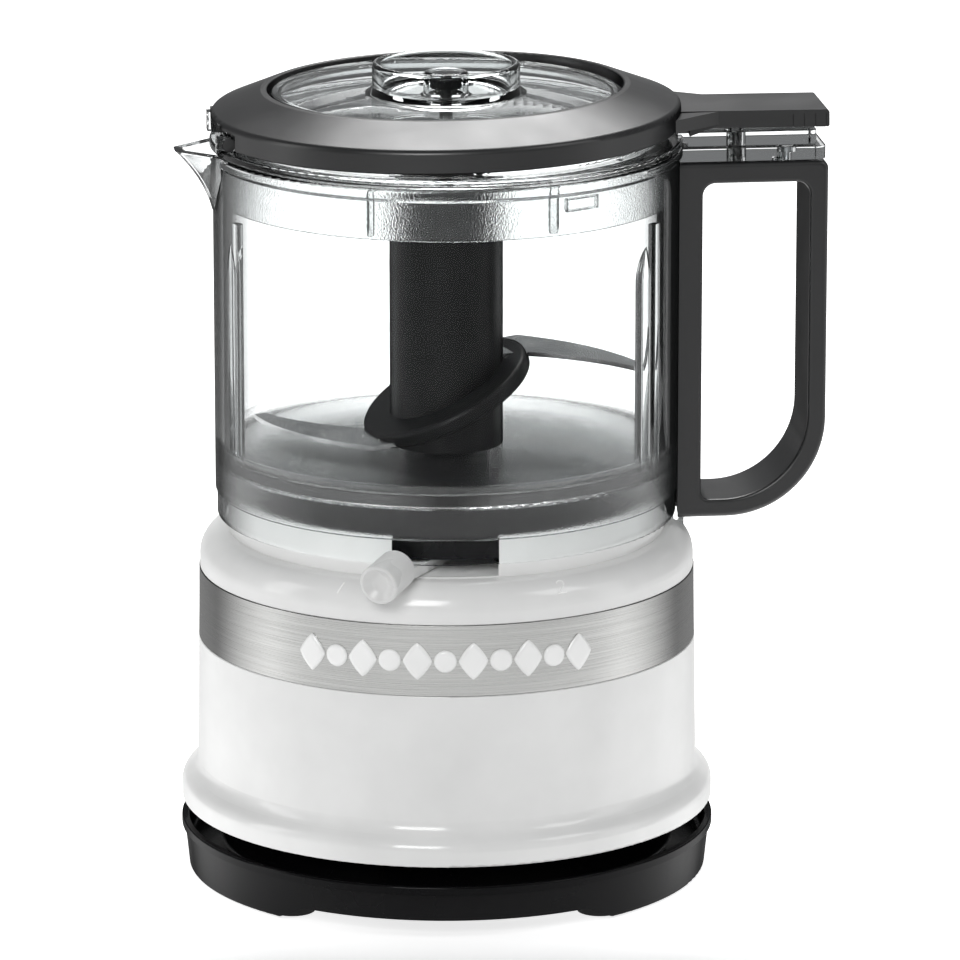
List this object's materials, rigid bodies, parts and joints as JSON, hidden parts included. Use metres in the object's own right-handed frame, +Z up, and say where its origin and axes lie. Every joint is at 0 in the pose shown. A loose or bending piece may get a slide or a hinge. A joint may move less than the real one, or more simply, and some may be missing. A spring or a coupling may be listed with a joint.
{
  "type": "food processor",
  "caption": "Compact food processor: clear bowl with handle and pouring spout, hinged press lid, tall blade hub, on a round motor base with a speed lever.",
  "frame": {"origin": "on the table, under the middle of the whole food processor's bounding box; the axis of the base, bowl and blades stands at x -0.014954, y 0.001815 m", "axes": "+Z up, -Y towards the front with the speed lever, +X towards the side of the handle"},
  "size_m": [0.1756, 0.1488, 0.2227],
  "materials": {
    "black_abs": "glossy black ABS",
    "satin_black": "satin black ABS with a fine grain",
    "hub_black": "satin black nylon",
    "rubber": "matt rubber",
    "zinc_steel": "zinc plated",
    "white_abs": "gloss white ABS",
    "knob_white": "satin white ABS",
    "white_badge": "gloss white",
    "brushed_band": "brushed round the circumference",
    "switch_plastic": "black moulding",
    "board": "green laminate",
    "components": "moulded components",
    "spring_steel": "drawn wire",
    "ferrite": "sintered",
    "brass": "plain",
    "carbon": "pressed carbon",
    "cast_grey": "die cast",
    "shaft_steel": "ground",
    "lamination": "stacked sheet",
    "copper": "enamelled copper",
    "acetal": "natural acetal",
    "clear_plastic": "clear polycarbonate",
    "lid_clear": "clear polycarbonate, frosted skirt",
    "blade_steel": "ground stainless"
  },
  "bodies": {
    "base": {"base_pan": "black_abs", "rubber_feet": "rubber", "base_screws": "zinc_steel", "cord_bush": "rubber", "motor_housing": "white_abs", "trim_band": "brushed_band", "badge": "white_badge", "drive_deck": "black_abs", "deck_screws": "zinc_steel", "shaft_seal": "rubber", "speed_switch": "switch_plastic", "circuit_board": "board", "board_components": "components", "microswitch": "switch_plastic", "switch_bracket": "white_abs", "button_spring": "spring_steel", "motor_can": "zinc_steel", "motor_end_cap": "switch_plastic", "magnets": "ferrite", "brush_holders": "brass", "carbon_brushes": "carbon", "gearbox_housing": "cast_grey", "gearbox_cover": "cast_grey", "gearbox_screws": "zinc_steel", "motor_screws": "zinc_steel", "lower_bush": "brass", "upper_bush": "brass"},
    "armature": {"motor_shaft": "shaft_steel", "armature_core": "lamination", "armature_windings": "copper", "commutator": "copper", "cooling_fan": "black_abs", "pinion": "shaft_steel"},
    "drive": {"drive_gear": "acetal", "drive_shaft": "shaft_steel", "drive_coupling": "black_abs"},
    "selector": {"speed_lever": "white_abs", "lever_knob": "knob_white"},
    "button": {"switch_button": "clear_plastic"},
    "bowl_assembly": {"bowl": "clear_plastic", "handle": "satin_black", "handle_screws": "zinc_steel", "rod_spring": "spring_steel"},
    "rod": {"actuator_rod": "satin_black"},
    "blade": {"blade_hub": "hub_black", "lower_blade": "blade_steel", "upper_blade": "blade_steel", "hub_cap": "hub_black"},
    "lid_body": {"lid": "lid_clear"},
    "lid_lever": {"lever_ring": "satin_black"}
  },
  "joints": [
    {"name": "armature_spin", "type": "hinge", "parent": "base", "child": "armature", "pos_m": [-0.01495, 0.03431, 0.05], "axis": [0, 0, 1], "continuous": true},
    {"name": "drive_spin", "type": "hinge", "parent": "base", "child": "drive", "pos_m": [-0.01495, 0.00181, 0.1], "axis": [0, 0, 1], "continuous": true},
    {"name": "blade_spin", "type": "hinge", "parent": "bowl_assembly", "child": "blade", "pos_m": [-0.01495, 0.00181, 0.15], "axis": [0, 0, 1], "continuous": true},
    {"name": "speed_select", "type": "hinge", "parent": "base", "child": "selector", "pos_m": [-0.01495, -0.03469, 0.0975], "axis": [0, 0, 1], "range_deg": [0, 50]},
    {"name": "bowl_lift", "type": "slide", "parent": "base", "child": "bowl_assembly", "axis": [0, 0, 1], "range_m": [0, 0.07]},
    {"name": "lid_lift", "type": "slide", "parent": "bowl_assembly", "child": "lid_body", "axis": [0, 0, 1], "range_m": [0, 0.05]},
    {"name": "lever_press", "type": "hinge", "parent": "lid_body", "child": "lid_lever", "pos_m": [-0.07417, -0.00493, 0.2049], "axis": [-0.1132, 0.9936, 0], "range_deg": [0, 1.05], "stiffness_Nm_per_rad": 8, "springref_deg": -1.15},
    {"name": "rod_push", "type": "slide", "parent": "bowl_assembly", "child": "rod", "axis": [0, 0, -1], "range_m": [0, 0.0026], "deforming": ["rod_spring"]},
    {"name": "button_push", "type": "slide", "parent": "base", "child": "button", "axis": [0, 0, -1], "range_m": [0, 0.0026], "deforming": ["button_spring"]}
  ],
  "couplings": [
    {"joint": "drive_spin", "follows": "armature_spin", "ratio": -0.25},
    {"joint": "blade_spin", "follows": "armature_spin", "ratio": -0.25},
    {"joint": "rod_push", "follows": "lever_press", "m_per_rad": 0.1376},
    {"joint": "button_push", "follows": "lever_press", "m_per_rad": 0.1376}
  ]
}
